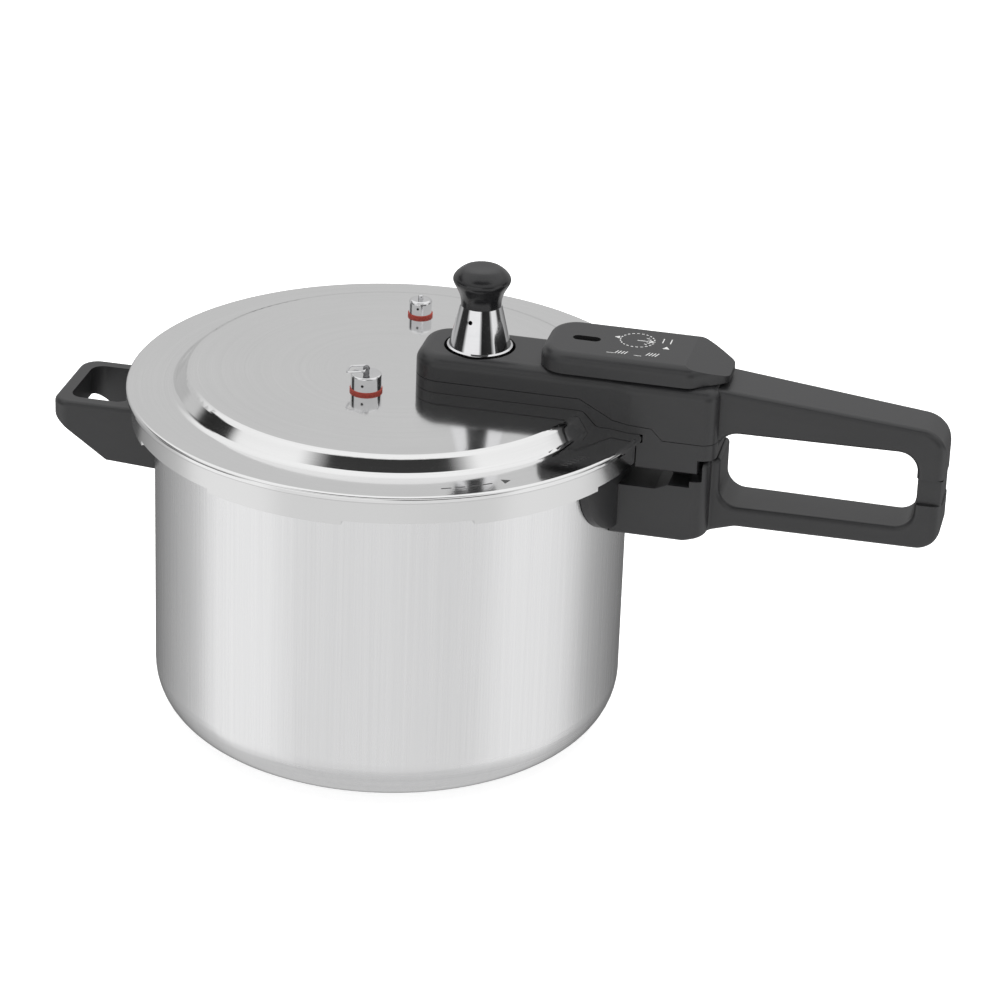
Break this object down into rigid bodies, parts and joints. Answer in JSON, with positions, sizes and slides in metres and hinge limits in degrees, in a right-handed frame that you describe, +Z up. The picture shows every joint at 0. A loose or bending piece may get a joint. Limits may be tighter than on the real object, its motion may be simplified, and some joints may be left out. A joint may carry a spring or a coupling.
{
  "type": "stovetop pressure cooker",
  "caption": "Aluminium stovetop pressure cooker with bayonet lid, long two-part black handle with lock slider, weight regulator, two valves and a helper handle.",
  "frame": {"origin": "centre of the pot's flat base, on the surface it stands on", "axes": "+Z up, +X along the long handle away from the pot, +Y completes a right-handed frame"},
  "size_m": [0.415, 0.2462, 0.2266],
  "materials": {
    "aluminium_shell": "brushed and polished",
    "black_handle": "satin moulded",
    "black_knob": "satin",
    "red_seal": "matte",
    "grey_seal": "matte",
    "chrome_brass": "polished",
    "pressed_steel": "satin",
    "rivet_aluminium": "satin",
    "screw_steel": "satin",
    "bright_steel": "polished",
    "dark_stem": "polished"
  },
  "bodies": {
    "pot": {"pot_body": "aluminium_shell", "body_bracket": "pressed_steel", "body_rivets": "rivet_aluminium", "body_handle": "black_handle", "body_handle_screw": "screw_steel", "helper_bracket": "pressed_steel", "helper_rivets": "rivet_aluminium", "helper_handle": "black_handle", "helper_handle_screw": "screw_steel"},
    "seal": {"sealing_gasket": "grey_seal"},
    "lid": {"lid_plate": "aluminium_shell", "lid_handle_upper": "black_handle", "lid_handle_lower": "black_handle", "lid_bracket": "pressed_steel", "cover_screws": "screw_steel", "lid_screws": "screw_steel", "lid_screw_seals": "grey_seal", "vent_pipe": "chrome_brass", "vent_washer": "grey_seal", "vent_nut": "chrome_brass", "vent_filter": "pressed_steel", "safety_valve_body": "chrome_brass", "safety_valve_gasket": "red_seal", "safety_valve_nut": "chrome_brass", "safety_spring": "bright_steel", "relief_valve_body": "chrome_brass", "relief_valve_gasket": "red_seal", "relief_valve_nut": "chrome_brass", "relief_spring": "bright_steel", "float_guide": "chrome_brass", "detent_ball": "bright_steel", "detent_spring": "bright_steel"},
    "lock": {"lock_slider": "black_handle", "lock_bolt": "pressed_steel", "slider_screws": "screw_steel"},
    "float": {"float_pin": "bright_steel", "float_seal": "grey_seal"},
    "regulator": {"weight_body": "chrome_brass", "needle_stud": "chrome_brass", "weight_knob": "black_knob"},
    "safety_stem": {"safety_stem": "dark_stem"},
    "pull_ring": {"safety_pull_ring": "bright_steel"},
    "relief_plunger": {"relief_plunger": "chrome_brass"}
  },
  "joints": [
    {"name": "lid_lift", "type": "slide", "parent": "pot", "child": "seal", "axis": [0, 0, 1], "range_m": [0, 0.12]},
    {"name": "lid_turn", "type": "hinge", "parent": "seal", "child": "lid", "pos_m": [0, 0, 0.16], "axis": [0, 0, 1], "range_deg": [0, 25]},
    {"name": "lock_slide", "type": "slide", "parent": "lid", "child": "lock", "axis": [-1, 0, 0], "range_m": [0, 0.007]},
    {"name": "float_rise", "type": "slide", "parent": "lid", "child": "float", "axis": [0, 0, 1], "range_m": [0, 0.004]},
    {"name": "regulator_lift", "type": "slide", "parent": "lid", "child": "regulator", "axis": [0, 0, 1], "range_m": [0, 0.035]},
    {"name": "safety_lift", "type": "slide", "parent": "lid", "child": "safety_stem", "axis": [0, 0, 1], "range_m": [0, 0.0018], "stiffness_N_per_m": 400, "springref_m": -0.004, "deforming": ["safety_spring"]},
    {"name": "ring_flip", "type": "hinge", "parent": "safety_stem", "child": "pull_ring", "pos_m": [-0.0066, -0.0258, 0.1814], "axis": [0, 1, 0], "range_deg": [0, 200]},
    {"name": "relief_lift", "type": "slide", "parent": "lid", "child": "relief_plunger", "axis": [0, 0, 1], "range_m": [0, 0.0015], "stiffness_N_per_m": 300, "springref_m": -0.004, "deforming": ["relief_spring"]}
  ]
}
